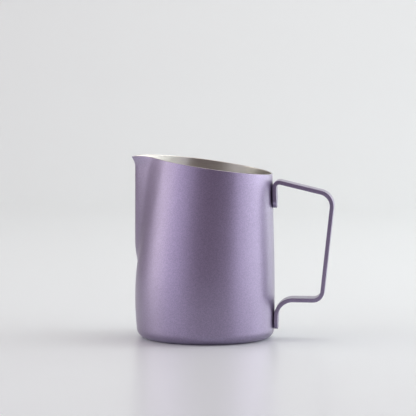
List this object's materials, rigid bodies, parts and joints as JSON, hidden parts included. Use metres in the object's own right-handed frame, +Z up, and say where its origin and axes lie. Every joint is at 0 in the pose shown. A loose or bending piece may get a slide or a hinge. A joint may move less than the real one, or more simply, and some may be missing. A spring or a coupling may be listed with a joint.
{
  "type": "milk frothing pitcher",
  "caption": "Small steel jug for frothing milk: drawn cup with a pressed pouring spout and sloping rim, satin lavender outside, bare brushed steel inside, and a welded strip handle.",
  "frame": {"origin": "centre of the flat base, on the surface the pitcher stands on", "axes": "+Z up, +X from the cup to the handle, the spout points along -X, +Y to the left of the handle's plane"},
  "size_m": [0.1212, 0.0834, 0.1089],
  "materials": {
    "bare_steel": "brushed",
    "lavender_coat": "satin",
    "weld_steel": "fused"
  },
  "bodies": {
    "root": {"vessel": "bare_steel", "outer_coating": "lavender_coat", "handle": "lavender_coat", "upper_spot_weld": "weld_steel", "lower_spot_weld": "weld_steel"}
  },
  "joints": []
}
